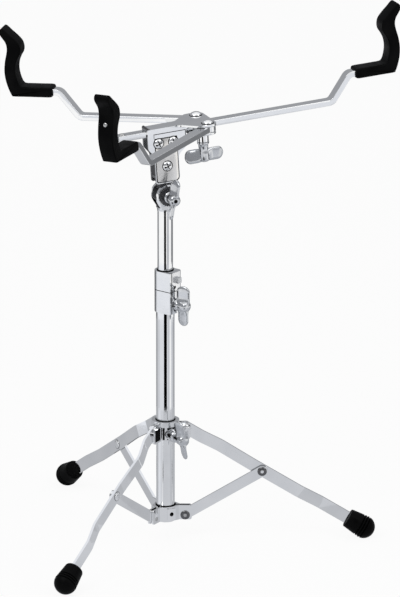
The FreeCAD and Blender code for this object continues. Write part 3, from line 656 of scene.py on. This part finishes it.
# Rims of rivets, pins and domes, and the far heads of the leg rivets; the rims are painted shade, dark rings
# drawn round the heads
RIVET_NEAR = -2.65
RIVET_FAR = 3.15
HUB_PIN_NEAR = -4.6
RIM = turned([(0, 4.9), (0.3, 4.9), (0.9, 4.25), (1.35, 3.3), (1.5, 2.6)], 32)
FLAT_RIM = turned([(0, 5.0), (0.2, 5.0), (0.3, 4.7)], 32)
DOME_RIM = turned([(0, 6.7), (0.3, 6.7), (0.5, 6.4)])
for side, azimuth in zip(LEG_SIDES, THIRDS):
    near_lay = leg_frame(azimuth) @ place(LINK_LENGTH, RIVET_NEAR, 0) @ NEAR
    add_shade_pieces("rivet_rim_shade_" + side, side + "_leg", (RIM, near_lay), finish=rivet_rim_shade)
    far_lay = leg_frame(azimuth) @ place(LINK_LENGTH, RIVET_FAR, 0) @ FAR
    rivet = Piece()
    rivet.add(*dome(4.6, 1.3), far_lay)
    rivet.add(*FLAT_RIM, far_lay, 1)
    rivet.finish("rivet_back_" + side, side + "_leg", [chrome, rivet_rim_shade], "nickel")
PIN_SEAT = place(LEG_PIN_RADIUS, HUB_PIN_NEAR, HUB_PIN_HEIGHT) @ NEAR
add_shade_pieces("hub_pin_rim_shade", "base", *[(RIM, turn(azimuth, "Z") @ PIN_SEAT) for azimuth in THIRDS],
           finish=rivet_rim_shade)
add_shade_pieces("dome_rim_shade", "basket",
           *[(DOME_RIM, BASKET @ place(ARM_PIVOT_X, y, COVER_TOP) @ UP) for y in (ARM_PIVOT_Y, -ARM_PIVOT_Y)])

# Stage: pale floor, soft light, and pale and dark cards that only reflections see
FLOOR_SIZE = 60.0
FLOOR_WHITE = 0.92
PAPER_WHITE = 0.92
CARD_TINT = (0.96, 0.98, 1.03)
CARD_HEIGHT = 0.0004
# Cards on the floor as near radius, far radius and sectors of (first azimuth, last azimuth, shade);
# azimuth 0 is towards the camera
FLOOR_CARDS = [
    (0.0, 0.45, [(-180, -164, 0.20), (-164, -144, 0.42), (-144, -98, 0.50), (-98, -62, 0.80),
                 (-62, -26, 0.70), (-26, 28, 0.62), (28, 60, 0.63), (60, 98, 0.56), (98, 144, 0.50),
                 (144, 164, 0.42), (164, 180, 0.20)]),
    (0.45, 0.88, [(-16, 21, 0.0)]),
    (0.88, 1.3, [(-16, 15, 0.0)]),
    (0.45, 0.78, [(-180, -128, 0.36), (-128, -100, 0.50), (-100, -70, 0.68), (-70, -16, 0.78),
                  (21, 32, 0.74), (32, 48, 0.60), (48, 60, 0.76), (76, 92, 0.70), (92, 112, 0.60),
                  (112, 180, 0.40)]),
    (0.78, 0.99, [(-180, -118, 0.16), (-118, -100, 0.60), (-100, -16, 0.90)]),
    (0.78, 0.88, [(21, 58, 0.60)]),
    (0.88, 0.99, [(15, 58, 0.60)]),
    (0.78, 0.99, [(122, 180, 0.30)]),
    (0.99, 1.45, [(-180, -108, 0.28)]),
    (0.99, 1.2, [(26, 58, 0.52)]),
    (1.2, 1.4, [(30, 60, 0.70)]),
    (0.99, 1.40, [(100, 180, 0.24)]),
    (1.40, 3.0, [(100, 150, 0.20), (150, 180, 0.12)]),
    (1.3, 2.3, [(-52, -12, 0.78)]),
    (1.4, 2.3, [(28, 62, 0.82)]),
]


def add_mesh(name, points, faces, material):
    mesh = bpy.data.meshes.new(name)
    mesh.from_pydata(points, [], faces)
    mesh.materials.append(material)
    piece = bpy.data.objects.new(name, mesh)
    scene.collection.objects.link(piece)
    return piece


def background_rays(nodes):
    """One for rays that see the backdrop: from the camera, in reflections and through clear pieces."""
    path = nodes.add("ShaderNodeLightPath")
    seen = nodes.add("ShaderNodeMath", operation="MAXIMUM")
    nodes.link(path.outputs["Is Camera Ray"], seen.inputs[0])
    nodes.link(path.outputs["Is Glossy Ray"], seen.inputs[1])
    also = nodes.add("ShaderNodeMath", operation="MAXIMUM")
    nodes.link(seen.outputs["Value"], also.inputs[0])
    nodes.link(path.outputs["Is Transmission Ray"], also.inputs[1])
    return also.outputs["Value"]


def add_floor():
    material, nodes = new_material("floor")
    paper = nodes.add("ShaderNodeBsdfDiffuse")
    paper.inputs["Color"].default_value = (PAPER_WHITE, PAPER_WHITE, PAPER_WHITE, 1.0)
    white = nodes.add("ShaderNodeEmission", Strength=1.0)
    share = nodes.add("ShaderNodeMath", operation="MULTIPLY")
    nodes.link(background_rays(nodes), share.inputs[0])
    share.inputs[1].default_value = FLOOR_WHITE
    mix = nodes.add("ShaderNodeMixShader")
    nodes.link(share.outputs["Value"], mix.inputs["Fac"])
    nodes.link(paper.outputs["BSDF"], mix.inputs[1])
    nodes.link(white.outputs["Emission"], mix.inputs[2])
    output = nodes.add("ShaderNodeOutputMaterial")
    nodes.link(mix.outputs["Shader"], output.inputs["Surface"])
    half = FLOOR_SIZE / 2
    corners = [(-half, -half, 0.0), (half, -half, 0.0), (half, half, 0.0), (-half, half, 0.0)]
    floor = add_mesh("floor", corners, [(0, 1, 2, 3)], material)


def reflection_only(name, points, faces, shade):
    """A matt card of the studio that shows only in the plated surfaces."""
    material, nodes = new_material(name)
    glow = nodes.add("ShaderNodeEmission", Strength=1.0)
    glow.inputs["Color"].default_value = (*[tint * shade for tint in CARD_TINT], 1.0)
    output = nodes.add("ShaderNodeOutputMaterial")
    nodes.link(glow.outputs["Emission"], output.inputs["Surface"])
    card = add_mesh(name, points, faces, material)
    card.visible_camera = False
    card.visible_diffuse = False
    card.visible_shadow = False
    card.visible_transmission = False
    card.visible_volume_scatter = False


def around(azimuth, radius, height):
    angle = math.radians(azimuth)
    return (radius * math.sin(angle), -radius * math.cos(angle), height)


def add_card(name, first, last, one_rim, other_rim, shade, count=24):
    """A card between two azimuths and two rims, each rim a (radius, height)."""
    points = []
    for k in range(count + 1):
        azimuth = first + (last - first) * k / count
        points += [around(azimuth, *one_rim), around(azimuth, *other_rim)]
    faces = [(2 * k, 2 * k + 1, 2 * k + 3, 2 * k + 2) for k in range(count)]
    reflection_only(name, points, faces, shade)


def add_area(name, location, target, size, power):
    data = bpy.data.lights.new(name, "AREA")
    data.shape = "RECTANGLE"
    data.size = size[0]
    data.size_y = size[1]
    data.energy = power
    lamp = bpy.data.objects.new(name, data)
    lamp.location = location
    lamp.rotation_euler = (Vector(target) - Vector(location)).to_track_quat("-Z", "Y").to_euler()
    scene.collection.objects.link(lamp)


def add_world():
    world = bpy.data.worlds.new("studio")
    world.use_nodes = True
    scene.world = world
    nodes = Nodes(world.node_tree)
    ambient = nodes.add("ShaderNodeBackground", Strength=0.55)
    white = nodes.add("ShaderNodeBackground", Strength=1.0)
    mix = nodes.add("ShaderNodeMixShader")
    nodes.link(background_rays(nodes), mix.inputs["Fac"])
    nodes.link(ambient.outputs["Background"], mix.inputs[1])
    nodes.link(white.outputs["Background"], mix.inputs[2])
    for background in (ambient, white):
        background.inputs["Color"].default_value = (1.0, 1.0, 1.0, 1.0)
    output = nodes.add("ShaderNodeOutputWorld")
    nodes.link(mix.outputs["Shader"], output.inputs["Surface"])


add_camera()
add_world()
add_floor()
add_area("key", (-1.4, -1.8, 2.4), (0.0, 0.0, 0.25), (1.6, 1.6), 26.0)
add_area("fill", (1.9, -1.2, 1.6), (0.0, 0.0, 0.3), (1.2, 1.6), 10.0)
sectors = [(near, far, *sector) for near, far, ring in FLOOR_CARDS for sector in ring]
for k, (near, far, first, last, shade) in enumerate(sectors):
    add_card("card_%02d" % k, first, last, (near, CARD_HEIGHT), (far, CARD_HEIGHT), shade)
for side in (-1, 1):
    add_card("card_top_%d" % side, 110 * side, 160 * side, (0.9, 2.6), (2.3, 2.6), 0.86)
add_card("card_ring", -180.0, 180.0, (2.5, 0.2), (2.5, 2.4), 0.36, 48)
